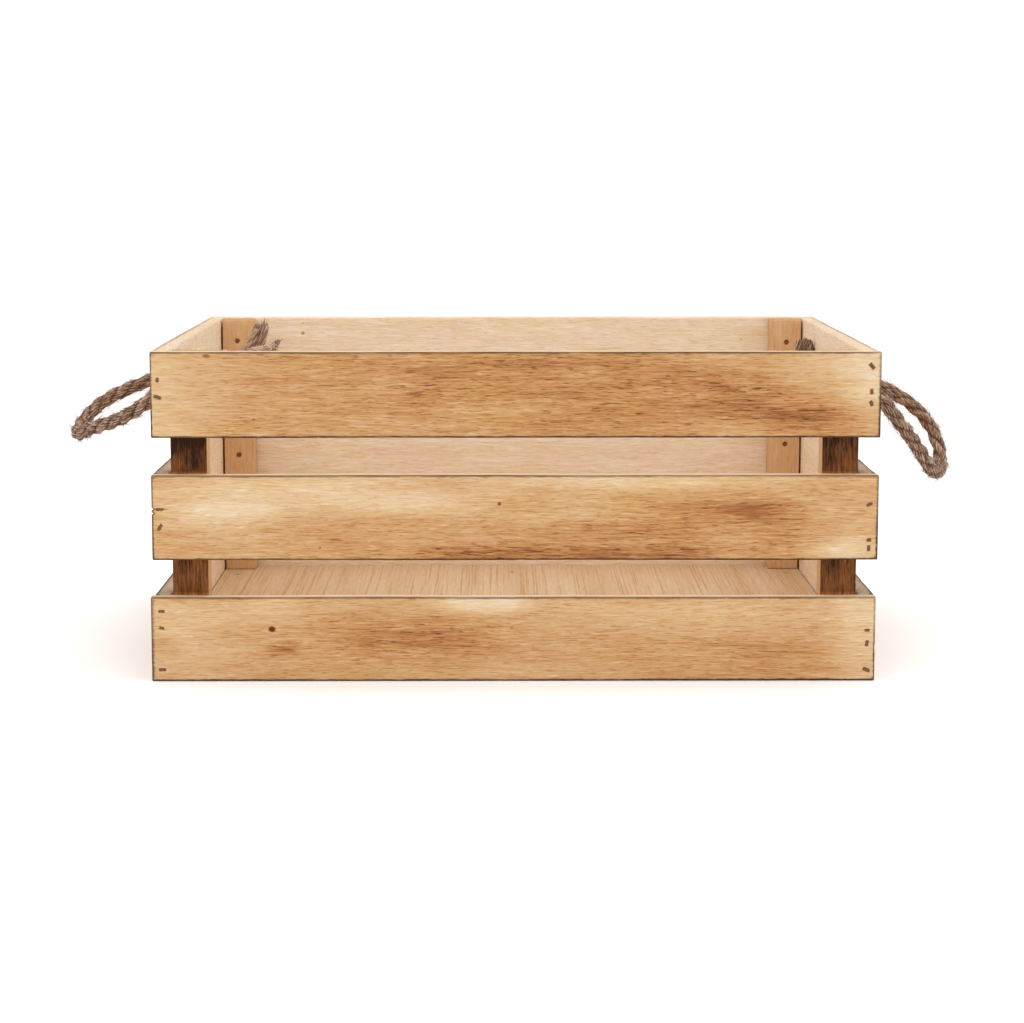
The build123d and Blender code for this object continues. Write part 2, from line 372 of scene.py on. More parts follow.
def jute(name):
    """Coarse dry bast fibre, grey-brown, paler where it has rubbed."""
    g = Graph(name)
    place = g.attribute("lay", "Vector")
    long_fibre = g.noise(place, (8.0, 0.36, 3.0), 3.0, 0.65)
    tufts = g.noise(place, (5.0, 2.0, 3.0), 2.0)
    tone = g.add(g.about(long_fibre, 0.5, 2.2), g.about(tufts, 0.5, 1.3))
    tone = g.add(g.add(tone, 0.40), g.attribute("tone"))
    colour = g.ramp(tone, JUTE_TONES)
    normal = g.bump(long_fibre, 0.00025)
    g.shader.inputs["Sheen Weight"].default_value = 0.1
    g.shader.inputs["Sheen Roughness"].default_value = 0.5
    return g.finish(colour, 0.9, normal, 0.15)


# ---- ropes
STRANDS = 3
STRAND_RADIUS = 2.48
STRAND_OFFSET = 1.64
ROPE_PITCH = 40.0
YARNS = 9
YARN_PITCH = -34.0
YARN_TWIST = 2 * np.pi / YARN_PITCH
YARN_LOBE = 0.075
YARN_SHADE = 0.16
GROOVE_SHADE = 0.34
STRAND_ROUGH = 0.10
LAY_APART = 5.3
RING_STEP = 0.55
AROUND = 45

# The rope holes, and the outer and inner faces of the end slats that they go through, in metres
HOLE_Y = 0.070
HOLE_Z = 0.155
WALL_OUT = 0.200
WALL_IN = 0.191

# Each handle's rope in metres: from inside its front hole, round the loop, to inside its rear hole
LEFT_ROUTE = (
    (-0.1885, -0.07, 0.155),
    (-0.197, -0.07, 0.155),
    (-0.20455, -0.07, 0.155),
    (-0.216, -0.063, 0.1447),
    (-0.234, -0.046, 0.1342),
    (-0.254, -0.025, 0.127),
    (-0.2655, -0.006, 0.121),
    (-0.2655, 0.018, 0.1272),
    (-0.2545, 0.04, 0.1393),
    (-0.23, 0.0615, 0.149),
    (-0.20455, 0.07, 0.155),
    (-0.197, 0.07, 0.155),
    (-0.1885, 0.07, 0.155),
)
RIGHT_ROUTE = (
    (0.1885, -0.07, 0.155),
    (0.197, -0.07, 0.155),
    (0.20455, -0.07, 0.155),
    (0.2145, -0.0645, 0.1492),
    (0.2275, -0.0515, 0.1335),
    (0.2418, -0.0325, 0.1167),
    (0.2555, -0.0105, 0.097),
    (0.264, 0.0095, 0.0985),
    (0.263, 0.027, 0.117),
    (0.2555, 0.0415, 0.1305),
    (0.24, 0.058, 0.142),
    (0.222, 0.067, 0.149),
    (0.20455, 0.07, 0.155),
    (0.197, 0.07, 0.155),
    (0.1885, 0.07, 0.155),
)


def spline_points(route):
    """Points in millimetres along the smooth curve that has the route as its control points."""
    data = bpy.data.curves.new("route", "CURVE")
    data.dimensions = "3D"
    data.resolution_u = 24
    line = data.splines.new("NURBS")
    line.points.add(len(route) - 1)
    for point, place in zip(line.points, route):
        point.co = (*place, 1.0)
    line.order_u = 3
    line.use_endpoint_u = True
    holder = bpy.data.objects.new("route", data)
    mesh = bpy.data.meshes.new_from_object(holder)
    points = np.array([v.co for v in mesh.vertices]) / MM
    bpy.data.objects.remove(holder)
    bpy.data.curves.remove(data)
    bpy.data.meshes.remove(mesh)
    return points


def distance_along(points):
    """How far along its line each point is."""
    return np.concatenate([[0], np.cumsum(np.linalg.norm(np.diff(points, axis=0), axis=1))])


def evenly(points, step):
    """The same line with its points a step apart, and how far along it each of them is."""
    along = distance_along(points)
    count = max(4, int(round(along[-1] / step)) + 1)
    s = np.linspace(0, along[-1], count)
    return np.stack([np.interp(s, along, points[:, k]) for k in range(3)], axis=1), s


def unit(v):
    return v / np.maximum(np.linalg.norm(v, axis=-1, keepdims=True), 1e-9)


def turning_frame(points):
    """Along, sideways and upward directions that follow a line without twisting about it."""
    along = unit(np.gradient(points, axis=0))
    side = np.empty_like(along)
    start = np.cross(along[0], (0.0, 0.0, 1.0))
    if np.linalg.norm(start) < 0.1:
        start = np.cross(along[0], (0.0, 1.0, 0.0))
    side[0] = unit(start)
    for i in range(1, len(points)):
        moved = side[i - 1] - along[i] * np.dot(side[i - 1], along[i])
        side[i] = unit(moved)
    return along, side, np.cross(along, side)


def tube_faces(rings, around, first):
    """The quads and the two end caps of a tube whose points come ring by ring."""
    i = np.arange(rings - 1)[:, None] * around
    j = np.arange(around)[None, :]
    k = (j + 1) % around
    quads = np.stack([i + j, i + k, i + around + k, i + around + j], axis=-1).reshape(-1, 4)
    caps = np.stack([np.arange(around)[::-1], np.arange(around) + (rings - 1) * around])
    return quads + first, caps + first


class RopeMesh:
    """Collects the strands and fibres of one piece of rope."""

    def __init__(self):
        self.points, self.faces, self.lay, self.tone = [], [], [], []
        self.count = 0

    def tube(self, line, radii, around=AROUND, lobes=0.0, twist=0.0, tone=0.0, seed=0, core=None):
        """One strand or fibre along a line, with its yarns as twisted lobes.

        core: the rope's own line beside the strand, towards which the strand gets darker.
        """
        _, side, up = turning_frame(line)
        s = distance_along(line)
        angle = full_turn(around)
        turn = angle + twist * s[:, None]
        wave = np.cos(YARNS * turn)
        radius = np.asarray(radii).reshape(-1, 1) * (1 + lobes * wave)
        ring = side[:, None] * np.cos(angle)[:, None] + up[:, None] * np.sin(angle)[:, None]
        if lobes:
            skin = (line[:, None] + ring * 2).reshape(-1, 3)
            radius = radius + STRAND_ROUGH * smooth_noise(skin, 0.9, seed).reshape(radius.shape)
        quads, caps = tube_faces(len(line), around, self.count)
        self.points.append((line[:, None] + ring * radius[..., None]).reshape(-1, 3))
        self.faces += [quads, caps]
        lay = np.empty_like(ring)
        lay[..., 0] = s[:, None]
        lay[..., 1] = turn * np.mean(radii)
        lay[..., 2] = seed * LAY_APART
        self.lay.append(lay.reshape(-1, 3))
        shade = YARN_SHADE * wave if lobes else np.zeros(radius.shape)
        if core is not None:
            facing = (ring * unit(line - core)[:, None]).sum(-1)
            shade = shade - GROOVE_SHADE * ease(facing, 0.72, 0.05)
        self.tone.append((shade + tone).ravel())
        self.count += radius.size

    def made(self, name, material):
        rope = mesh_object(name, np.concatenate(self.points), self.faces, material)
        add_attribute(rope, "lay", np.concatenate(self.lay))
        add_attribute(rope, "tone", np.concatenate(self.tone))
        return rope


def noise_along(s, row, cell, seed):
    """Noise along a line, with its own values in each row."""
    return smooth_noise(np.stack([s, s * 0 + row, s * 0], 1), (cell, 1.0, 1.0), seed)


def strand_lines(line, s, start_angle, seed, scale=1.0):
    """The centre lines of the strands laid left-handed round a rope's own line."""
    _, side, up = turning_frame(line)
    lines = []
    for strand in range(STRANDS):
        wander = noise_along(s, strand / 0.7, 9.0, seed)
        angle = start_angle + 2 * np.pi * (strand / STRANDS - s / ROPE_PITCH) + 0.10 * wander
        reach = (STRAND_OFFSET * scale * (1 + 0.05 * wander))[:, None]
        lines.append(line + reach * (side * np.cos(angle)[:, None] + up * np.sin(angle)[:, None]))
    return lines


# Hairs on a rope: how many stand off it, how far out they reach at most, and for those that stand
# off and those that lie on it, their length and thickness as shares, their lean, lift and curl
STRAY_SHARE = 0.08
HAIR_LIMIT = 7.0
STRAY_HAIR = {"long": 0.6, "thick": 0.75, "lean": 0.55, "lift": (0.8, 2.0), "curl": 0.6}
FLAT_HAIR = {"long": 1.0, "thick": 1.0, "lean": 0.2, "lift": (0.2, 0.6), "curl": 0.25}


def loose_fibres(rope, line, strands, radius, rng, count, length, thick):
    """Hairs that lie back along the strands of a rope, a few standing off it, all near its line."""
    centres = np.concatenate(strands)
    outward = unit(centres - np.concatenate([line] * STRANDS))
    along = np.concatenate([unit(np.gradient(strand, axis=0)) for strand in strands])
    anchors = centres + outward * (radius * 0.95)
    core = line[::6]
    t = np.linspace(0, 1, 6)[:, None]
    for n in rng.integers(0, len(anchors), count):
        look = STRAY_HAIR if rng.random() < STRAY_SHARE else FLAT_HAIR
        size = length * rng.uniform(0.4, 1.0) * look["long"]
        lean = unit(along[n] * rng.choice([-1, 1]) + look["lean"] * rng.normal(size=3))
        lift = rng.uniform(*look["lift"])
        curl = rng.normal(size=3) * look["curl"]
        hair = anchors[n] + outward[n] * (lift * np.sin(np.pi * 0.7 * t) - 0.2)
        hair = hair + lean * size * t + curl * t * t
        apart = hair[:, None] - core[None]
        gap = np.linalg.norm(apart, axis=2)
        near = gap.argmin(1)
        rows = np.arange(len(hair))
        pull = np.minimum(1.0, HAIR_LIMIT / np.maximum(gap[rows, near], 1e-6))[:, None]
        hair = core[near] + apart[rows, near] * pull
        radii = thick * rng.uniform(0.7, 1.2) * look["thick"] * (1 - 0.7 * t[:, 0])
        rope.tube(hair, radii, around=3, tone=rng.uniform(-0.1, 0.4), seed=int(n))


# For each handle, the seed of its hairs and the seed of its strands
HANDLE_SEEDS = {"left": (11, 3), "right": (12, 8)}
HANDLE_HAIRS = 1500


def handle_rope(side, route, material):
    """One handle: a three-strand rope from hole to hole."""
    hair_seed, seed = HANDLE_SEEDS[side]
    line, s = evenly(spline_points(route), RING_STEP)
    strands = strand_lines(line, s, seed * 1.3, seed)
    rope = RopeMesh()
    for number, strand in enumerate(strands):
        swell = 1 + 0.04 * noise_along(s, number * 3, 6.0, seed)
        rope.tube(strand, STRAND_RADIUS * swell, lobes=YARN_LOBE, twist=YARN_TWIST,
                  tone=0.05 * (number - 1), seed=seed + number, core=line)
    rng = np.random.default_rng(hair_seed)
    loose_fibres(rope, line, strands, STRAND_RADIUS, rng, HANDLE_HAIRS, 11.0, 0.13)
    made = rope.made(f"{side}_rope_handle", material)
    return made, line * MM, s[-1] * MM


# The frayed strands of each knot, from its middle: inwards, along Y and up to the tip, how thick
# the strand still is there, and for strands that bend over, the same three to the bend
TAILS = {
    ("left", "front"): (
        ((17, 10, 12), 0.7, None),
        ((21, 15, 4), 0.6, None),
        ((14, 19, 0), 0.6, None),
    ),
    ("left", "rear"): (
        ((23, -2, 26), 1.15, (22, -2, 7)),
        ((26.5, 1.5, 27.5), 1.1, (26, 1, 8)),
        ((33.5, 1, 16.5), 0.95, (27, 2, 8)),
        ((21.5, -3, 26), 0.7, (15.5, -3, 12)),
        ((31.5, -3, 13), 1, (18, -4, 14.5)),
    ),
    ("right", "front"): (
        ((21, -5, 10), 0.7, None),
        ((22, -12, 3), 0.6, None),
        ((17, -15, -2), 0.6, None),
    ),
    ("right", "rear"): (
        ((3, -7, 10), 0.95, (2, -1, 27.5)),
        ((-1.2, -8, 10), 1, (-1.6, 0, 29.5)),
        ((-4.9, -7, 10), 0.95, (-5, -1, 27)),
    ),
}
TAIL_SHADE = {"left": 0.16, "right": -0.10}
KNOT_RING = 6.3
KNOT_SWING = 3.1
KNOT_SCALE = 0.84
KNOT_STAND = 7.4
KNOT_SPAN = (0.30, 2 * np.pi - 0.25)
KNOT_SEED = 20
KNOT_HAIRS = 320
TAIL_SHARE = 0.30
FRAY_LENGTH = 14.0
BRUSH_YARNS = 45


def curve_to(start, bend, tip):
    """A smooth line from a start, which it leaves out, towards a bend and on to a tip."""
    t = np.linspace(0, 1, 40)[1:, None]
    return (1 - t) ** 2 * start + 2 * t * (1 - t) * bend + t ** 2 * tip


def knot_line(middle, axes, reach):
    """The line of an overhand stopper knot: round its three crossings, then out to its tail."""
    t = np.linspace(*KNOT_SPAN, 150)[:, None]
    inwards, across, upward = np.diag(axes)
    angle = 2 * t + math.atan2(reach[2], reach[1])
    ring = across * np.cos(angle) + upward * np.sin(angle)
    body = middle + ring * (KNOT_RING + KNOT_SWING * np.cos(3 * t))
    body = body + inwards * (KNOT_SWING * np.sin(3 * t))
    leave = body[-1] + unit(body[-1] - body[-6]) * 4.0
    return np.concatenate([body, curve_to(body[-1], leave, middle + TAIL_SHARE * (axes * reach))])


def frayed_strand(rope, strand, tip, tip_scale, bend, shade, rng, seed):
    """One strand from the knot on to its own tip, where it ends in a brush of its yarns."""
    start = strand[-1]
    if bend is None:
        bend = start + unit(start - strand[-8]) * 0.25 * np.linalg.norm(tip - start)
    line, s = evenly(np.concatenate([strand, curve_to(start, bend, tip)]), RING_STEP)
    opening = ease(s, s[-1] - FRAY_LENGTH, s[-1])
    radii = STRAND_RADIUS * KNOT_SCALE * (1 - (1 - tip_scale) * opening)
    rope.tube(line, radii, lobes=YARN_LOBE, twist=YARN_TWIST, tone=shade, seed=seed)
    heading = unit(line[-1] - line[-10])
    t = np.linspace(0, 1, 6)[:, None]
    for _ in range(BRUSH_YARNS):
        root = line[-1] - heading * rng.uniform(0.0, 5.0) + rng.normal(size=3) * 0.9 * tip_scale
        aim = unit(heading + rng.normal(size=3) * 0.26)
        size = rng.uniform(1.5, 4.5)
        yarn = root + aim * size * t + rng.normal(size=3) * 0.15 * size * t * t
        thick = rng.uniform(0.22, 0.46) * (1 - 0.5 * t[:, 0])
        tone = shade + rng.uniform(-0.25, 0.2)
        rope.tube(yarn, thick, around=5, tone=tone, seed=int(rng.integers(1, 900)))


def rope_knot(side, corner, material):
    """The stopper knot behind one hole, and its frayed tail."""
    out = SIDE_X[side]
    tails = TAILS[side, corner]
    seed = KNOT_SEED + 3 * out + SIDE_Y[corner]
    rng = np.random.default_rng(seed)
    axes = np.array([-out, 1.0, 1.0])
    middle = np.array([out * (WALL_IN / MM - KNOT_STAND), SIDE_Y[corner] * HOLE_Y / MM, HOLE_Z / MM])
    reach = np.mean([tip for tip, _, _ in tails[:STRANDS]], axis=0)
    line, s = evenly(knot_line(middle, axes, reach), RING_STEP)
    strands = strand_lines(line, s, seed * 1.1, seed, KNOT_SCALE)
    rope = RopeMesh()
    free = list(range(STRANDS))
    for number, (tip, tip_scale, bend) in enumerate(tails):
        tip = middle + axes * tip
        bend = None if bend is None else middle + axes * bend
        near = min(free or range(STRANDS), key=lambda k: np.linalg.norm(strands[k][-1] - tip))
        if free:
            free.remove(near)
        shade = TAIL_SHADE[side] + 0.05 * (number - 1)
        frayed_strand(rope, strands[near], tip, tip_scale, bend, shade, rng, seed + number)
    loose_fibres(rope, line, strands, STRAND_RADIUS * KNOT_SCALE, rng, KNOT_HAIRS, 9.0, 0.12)
    return rope.made(f"{side}_{corner}_rope_knot", material)


# ---- boards
WEAR_LINES = (0.0, 0.35, 0.9)
BOARD_STEP = (2.6, 2.0, 2.6)
NAIL_REACH = 2.7
NAIL_STEP = 0.45
PIT_MARGIN = 0.22
PIT_DEPTH = 1.25
ON_FACE = 0.01
ARRIS_RADIUS = 0.62
BOW = 0.07
CROSS_BOW = 0.16
TRIM_REACH = np.array([2.4, 0.4])
GRAIN_SHIFT = 400
SHARP_DEGREES = 50
MARK_STEP = 0.6
SPLIT_DEPTH = 1.1
SPLIT_NOTCH = 1.2
TORCH_REACH = 3.5
INNER_SCORCH = 0.08
# the lower arrises' line: torch burn made darker by painted shade under the board's lower edge
LOWER_LINE_AND_SHADE = 1.0
POST_LINE = 0.3
NAIL_STAIN = 0.72
NAIL_SHOWING = (0.40, 0.85)


def grid_lines(low, high, step, zones):
    """Lines from low to high: close at both ends and in the zones, a step apart between."""
    ends = [low + w for w in WEAR_LINES] + [high - w for w in WEAR_LINES]
    inner_low, inner_high = low + WEAR_LINES[-1], high - WEAR_LINES[-1]
    count = max(1, round((inner_high - inner_low) / step))
    between = np.linspace(inner_low, inner_high, count + 1)
    extra = []
    for middle, reach, fine in zones:
        between = between[abs(between - middle) > reach]
        extra.append(np.arange(middle - reach, middle + reach + fine / 2, fine))
    extra = np.concatenate([*extra, between])
    extra = extra[(extra > inner_low + 0.15) & (extra < inner_high - 0.15)]
    kept = []
    for x in np.sort(extra):
        if not kept or x - kept[-1] > 0.2:
            kept.append(x)
    return np.sort(np.concatenate([ends, kept]))


def box_surface(xs, ys, zs):
    """Points and outward quads of a closed box gridded at those lines, and the axis each quad faces."""
    shape = (len(xs), len(ys), len(zs))
    outside = np.zeros(shape, bool)
    outside[[0, -1]] = True
    outside[:, [0, -1]] = True
    outside[:, :, [0, -1]] = True
    number = np.full(shape, -1)
    number[outside] = np.arange(outside.sum())
    grid = np.stack(np.meshgrid(xs, ys, zs, indexing="ij"), axis=-1)[outside]
    quads, facing = [], []
    for axis in range(3):
        for side in (0, -1):
            sheet = np.take(number, side, axis=axis)
            corners = [sheet[:-1, :-1], sheet[1:, :-1], sheet[1:, 1:], sheet[:-1, 1:]]
            rings = np.stack(corners, -1).reshape(-1, 4)
            outward = (side == -1) == (axis != 1)
            quads.append(rings if outward else rings[:, ::-1])
            facing.append(np.full(len(rings), axis))
    return grid, np.concatenate(quads), np.concatenate(facing)


def loose_parts(node):
    """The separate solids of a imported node, each as its points in millimetres."""
    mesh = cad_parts[node].data
    points = np.array([v.co for v in mesh.vertices]) / MM
    places, number = np.unique(np.round(points, 3), axis=0, return_inverse=True)
    number = number.ravel()
    edges = number[np.array([e.vertices[:] for e in mesh.edges])]
    label = np.arange(len(places))
    while True:
        before = label.copy()
        low = np.minimum(label[edges[:, 0]], label[edges[:, 1]])
        np.minimum.at(label, edges[:, 0], low)
        np.minimum.at(label, edges[:, 1], low)
        label = label[label]
        if (label == before).all():
            return [places[label == one] for one in np.unique(label)]


ROUND_HEAD_POINTS = 12


def nail_heads():
    """Every nail head: its middle, its axis, which way it faces, the bar's direction and half sizes."""
    heads = []
    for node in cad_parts:
        if not node.endswith(("_nails", "_pins")):
            continue
        for part in loose_parts(node):
            axis = int(np.ptp(part, axis=0).argmax())
            flat = [k for k in range(3) if k != axis]
            low, high = part[:, axis].min(), part[:, axis].max()
            ends = {-1: part[part[:, axis] < low + 0.05], 1: part[part[:, axis] > high - 0.05]}
            sign = max(ends, key=lambda k: np.ptp(ends[k][:, flat], axis=0).max())
            head = ends[sign]
            middle = (head.max(0) + head.min(0)) / 2
            plane = head[:, flat] - middle[flat]
            bar = len(head) < ROUND_HEAD_POINTS
            direction = np.linalg.svd(plane)[2][0] if bar else np.array([1.0, 0.0])
            both = np.stack([direction, [-direction[1], direction[0]]])
            heads.append((middle, axis, sign, both, np.abs(plane @ both.T).max(0), bar))
    return heads


NAIL_HEADS = nail_heads()


def heads_in(low, high):
    """The nail heads that are sunk into a board with that box."""
    found = []
    for head in NAIL_HEADS:
        middle, axis, sign = head[:3]
        surface = high[axis] if sign > 0 else low[axis]
        inside = all(low[k] - 0.5 < middle[k] < high[k] + 0.5 for k in range(3) if k != axis)
        if inside and abs(middle[axis] - surface) < 1.0:
            found.append(head)
    return found


class Board:
    """One sawn board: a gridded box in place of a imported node, its points moved and shaded.

    Along is the way of the grain, across the other way over the face, and depth outwards.
    """

    def __init__(self, node, grain, face, outward, seed):
        self.grain, self.face, self.cross = grain, face, 3 - grain - face
        self.outward = outward
        self.seed = seed
        self.low, self.high = (np.array(c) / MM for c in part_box(node))
        self.size = self.high - self.low
        self.middle = (self.low + self.high) / 2
        self.heads = heads_in(self.low, self.high)

    def noise(self, cell, number):
        """Noise over the flat board, another pattern for each number."""
        return smooth_noise(self.flat, cell, self.seed + number)

    def lay_grid(self, steps, marks, splits):
        """Grids the box, closely at the arrises and where a nail, mark or split is."""
        zones = {0: [], 1: [], 2: []}
        for head in self.heads:
            for k in range(3):
                if k != head[1]:
                    zones[k].append((head[0][k], NAIL_REACH, NAIL_STEP))
        grain_middle, cross_middle = self.middle[[self.grain, self.cross]]
        for along, across, half_long, half_high, _ in marks:
            zones[self.grain].append((grain_middle + along, half_long + 1.2, MARK_STEP))
            zones[self.cross].append((cross_middle + across, half_high + 1.2, MARK_STEP))
        for start, end, across, half_wide in splits:
            zones[self.grain].append((grain_middle + (start + end) / 2, (end - start) / 2, MARK_STEP))
            zones[self.cross].append((cross_middle + across, 4 * half_wide, half_wide / 2))
        step = dict(zip((self.grain, self.cross, self.face), steps))
        lines = [grid_lines(self.low[k], self.high[k], step[k], zones[k]) for k in range(3)]
        self.flat, self.quads, self.facing = box_surface(*lines)
        self.points = self.flat.copy()
        self.stain_and_crack_shade = np.zeros(len(self.flat))
        self.along = self.flat[:, self.grain] - grain_middle
        self.across = self.flat[:, self.cross] - cross_middle
        self.depth = (self.flat[:, self.face] - self.middle[self.face]) * self.outward
        self.half_thick = self.size[self.face] / 2
        self.upward = (self.flat[:, 2] > self.high[2] - 0.3) & (self.face != 2)

    def round_arrises(self, wear):
        """Rounds the arrises as handling does, with small bites out of them."""
        low, high, flat = self.low, self.high, self.flat
        reach = np.minimum(flat - low, high - flat)
        self.edge = np.sort(reach, axis=1)[:, 1]
        radius = ARRIS_RADIUS + 0.28 * self.noise(17.0, 0) + 0.18 * self.noise(4.0, 1)
        bites = ease(self.noise(7.0, 2), 0.62, 0.85)
        radius = np.clip(wear * (radius + 0.9 * bites), 0.2, 1.9)[:, None]
        soft = reach < radius
        worn = soft.sum(1) >= 2
        centre = np.where(soft, np.where(flat - low < high - flat, low + radius, high - radius), flat)
        arm = flat - centre
        rounded = centre + arm * (radius / np.maximum(np.linalg.norm(arm, axis=1), 1e-6)[:, None])
        self.points[worn] = rounded[worn]

    def bend(self, play, trim):
        """A slight bow, faces not quite flat and uneven ends, all but the trim within the box."""
        share = (self.flat - self.middle) / (self.size / 2)
        lumps = self.noise(38.0, 3) + 0.6 * self.noise(11.0, 4)
        self.points[:, self.face] -= share[:, self.face] * BOW * (1.6 + lumps)
        share = share[:, self.cross]
        self.points[:, self.cross] -= share * CROSS_BOW * (1.0 + self.noise(60.0, 5))
        wall_side = np.sign(self.middle[self.cross])
        self.points[:, self.cross] -= wall_side * play * np.clip(wall_side * share, 0, 1)
        half_long = (self.high - self.middle)[self.grain]
        for way, extra in zip((-1, 1), trim):
            tip = ease(way * self.along, *(half_long - TRIM_REACH))
            self.points[:, self.grain] += way * extra * tip

    def sink_nails(self):
        """Pits over the nail heads, with crushed and stained wood round them."""
        showing = np.random.default_rng(self.seed + 1).uniform(*NAIL_SHOWING, (len(self.heads), 2))
        for (place, axis, sign, both, half, bar), shown in zip(self.heads, showing):
            half = half * (shown if bar else 1.0)
            flat = [k for k in range(3) if k != axis]
            surface = self.high[axis] if sign > 0 else self.low[axis]
            on_face = abs(self.flat[:, axis] - surface) < ON_FACE
            local = (self.flat[:, flat] - place[flat]) @ both.T
            if bar:
                outside = (abs(local) - half).max(1)
            else:
                outside = np.linalg.norm(local, axis=1) - half.max()
            outside = outside + 0.12 * self.noise(0.9, 6)
            sunk = PIT_DEPTH * ease(outside, PIT_MARGIN + 0.25, PIT_MARGIN - 0.05)
            crushed = 0.16 * ease(outside, 1.3, 0.2)
            self.points[:, axis] -= np.where(on_face, sign * np.maximum(sunk, crushed), 0)
            self.stain_and_crack_shade = np.maximum(self.stain_and_crack_shade, np.where(on_face, ease(outside, 1.1, 0.0), 0))

    def open_splits(self, splits):
        """Cracks that run in from the board's low end, widest there, and darker in colour along them as
        painted shade in the crack.
        """
        on_face = self.depth > self.half_thick - ON_FACE
        at_end = self.along < (self.low - self.middle)[self.grain] + 0.95
        for start, end, height, half_wide in splits:
            crack = ease(self.along, end, start + 0.3 * (end - start))
            crack = crack * ease(abs(self.across - height), half_wide * 1.5, half_wide * 0.4)
            self.points[:, self.face] -= np.where(on_face, self.outward * SPLIT_DEPTH * crack, 0)
            self.points[:, self.grain] += np.where(at_end, SPLIT_NOTCH * crack, 0)
            self.stain_and_crack_shade = np.maximum(self.stain_and_crack_shade, np.where(on_face | at_end, crack * 1.15, 0))

    def torch(self, burn, clouds, marks, inner_marks, pale):
        """How far the torch reached: all of the outward face, and a little way over its arrises."""
        self.torched = ease(self.depth, self.half_thick - TORCH_REACH, self.half_thick - 0.2)
        inside = 1 - self.torched
        scorch = np.full(len(self.flat), burn)
        for u, v, half_long, half_high, strength in clouds:
            off = np.sqrt(((self.along - u) / half_long) ** 2 + ((self.across - v) / half_high) ** 2)
            off = off + 0.25 * self.noise((26.0, 12.0, 9.0), 7)
            scorch = scorch + strength * ease(off, 1.35, 0.15)
        scorch = np.clip(scorch, 0, 1.3) * (INNER_SCORCH + (1 - INNER_SCORCH) * self.torched)
        # pale paints the inward faces lighter: partly cleaner unburnt wood, partly painted light against
        # the shade inside the crate
        scorch = scorch - pale * inside
        for face_marks, on_side in ((marks, self.torched), (inner_marks, inside)):
            for u, v, half_long, half_high, strength in face_marks:
                off = np.hypot((self.along - u) / half_long, (self.across - v) / half_high)
                spot = ease(off, 1.3, 0.7) * on_side
                halo = ease(off, 2.4, 1.4) * ease(off, 1.0, 1.4) * on_side
                scorch = scorch + strength * spot - 0.08 * halo
        return scorch

    def burn_and_shade_line(self, upper_line):
        """Dark lines along the outer arrises: burn from the torch on all of them, and painted shade that
        makes the lower ones darker.
        """
        reach = 0.4 * self.size[2]
        lower = ease(self.flat[:, 2] - self.middle[2], reach, -reach)
        strongest = max(LOWER_LINE_AND_SHADE, upper_line)
        line = upper_line + (strongest - upper_line) * lower + 0.16 * self.noise(24.0, 9)
        line = np.clip(line, 0, strongest)
        return line * ease(self.depth, self.half_thick - 2.6, self.half_thick - 0.6)

    def flame_and_shade(self, gaps):
        """How dark the post's outer sides are where the gaps show them: burn from the torch that came
        through, and painted shade that darkens each gap towards the slat above.
        """
        outer = np.zeros(len(self.flat))
        for k in (self.cross, self.face):
            way = np.sign(self.middle[k])
            half = self.size[k] / 2
            outer = np.maximum(outer, ease(way * (self.flat[:, k] - self.middle[k]), half - 2.0, half))
        z = self.flat[:, 2]
        flame_and_shade = np.zeros(len(z))
        for bottom, top, dark_low, dark_high in gaps:
            t = np.clip((z - bottom) / (top - bottom), 0, 1)
            between = ease(z, bottom - 2.5, bottom + 1.0) * ease(z, top + 2.5, top - 1.0)
            flame_and_shade = np.maximum(flame_and_shade, between * (dark_low + (dark_high - dark_low) * t))
        return outer * flame_and_shade * (1 + 0.05 * self.noise((6.0, 6.0, 9.0), 8))


def board(node, material, grain, face, outward, seed, clouds=(), marks=(), burn=0.5, wear=1.0,
          slot="torched_slat_wood", gaps=(), steps=BOARD_STEP, inner_marks=(), splits=(), play=0.0,
          pale=0.0, top_shade=0.0, upper_line=0.66, trim=(0.0, 0.0)):
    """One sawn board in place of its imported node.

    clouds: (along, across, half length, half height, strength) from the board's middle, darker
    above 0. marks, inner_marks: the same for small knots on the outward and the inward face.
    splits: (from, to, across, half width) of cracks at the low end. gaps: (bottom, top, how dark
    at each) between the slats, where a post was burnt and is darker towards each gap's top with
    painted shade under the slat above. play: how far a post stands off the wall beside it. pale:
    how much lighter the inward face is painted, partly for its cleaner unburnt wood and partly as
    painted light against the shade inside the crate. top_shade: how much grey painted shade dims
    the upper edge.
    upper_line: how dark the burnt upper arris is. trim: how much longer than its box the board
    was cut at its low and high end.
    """
    wood = Board(node, grain, face, outward, seed)
    wood.lay_grid(steps, (*marks, *inner_marks), splits)
    wood.round_arrises(wear)
    wood.bend(play, trim)
    wood.sink_nails()
    wood.open_splits(splits)
    scorch = wood.torch(burn, clouds, marks, inner_marks, pale)
    line = wood.burn_and_shade_line(upper_line)
    if gaps:
        scorch = np.maximum(scorch, wood.flame_and_shade(gaps))
        line = line * POST_LINE
    # rust stains round the nails, and painted shade in the cracks
    scorch = np.maximum(scorch, wood.stain_and_crack_shade * NAIL_STAIN)

    made = mesh_object(node + "_board", wood.points, [wood.quads], material, SHARP_DEGREES)
    shift = np.random.default_rng(seed).uniform(-GRAIN_SHIFT, GRAIN_SHIFT, 3)
    inwards = wood.flat[:, face] - wood.middle[face]
    for name, values in {
        "grain": np.stack([wood.along, wood.across, inwards], 1) + shift,
        "burn": scorch,
        "edge": np.minimum(wood.edge, 6.0),
        "line": line,
        # the toasted tint on torched faces, and at half strength on the top faces as painted shade
        "toast_and_top_shade": np.maximum(wood.torched, 0.5 * wood.upward),
        # grey painted shade on the top faces
        "top_shade": top_shade * wood.upward,
    }.items():
        add_attribute(made, name, values)
    add_attribute(made, "end", (wood.facing == grain).astype(float), "FACE")
    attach(made, "root")
    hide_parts(node)
    return made


HOLE_RADIUS = 5.2
HOLE_RAGGED = 0.12


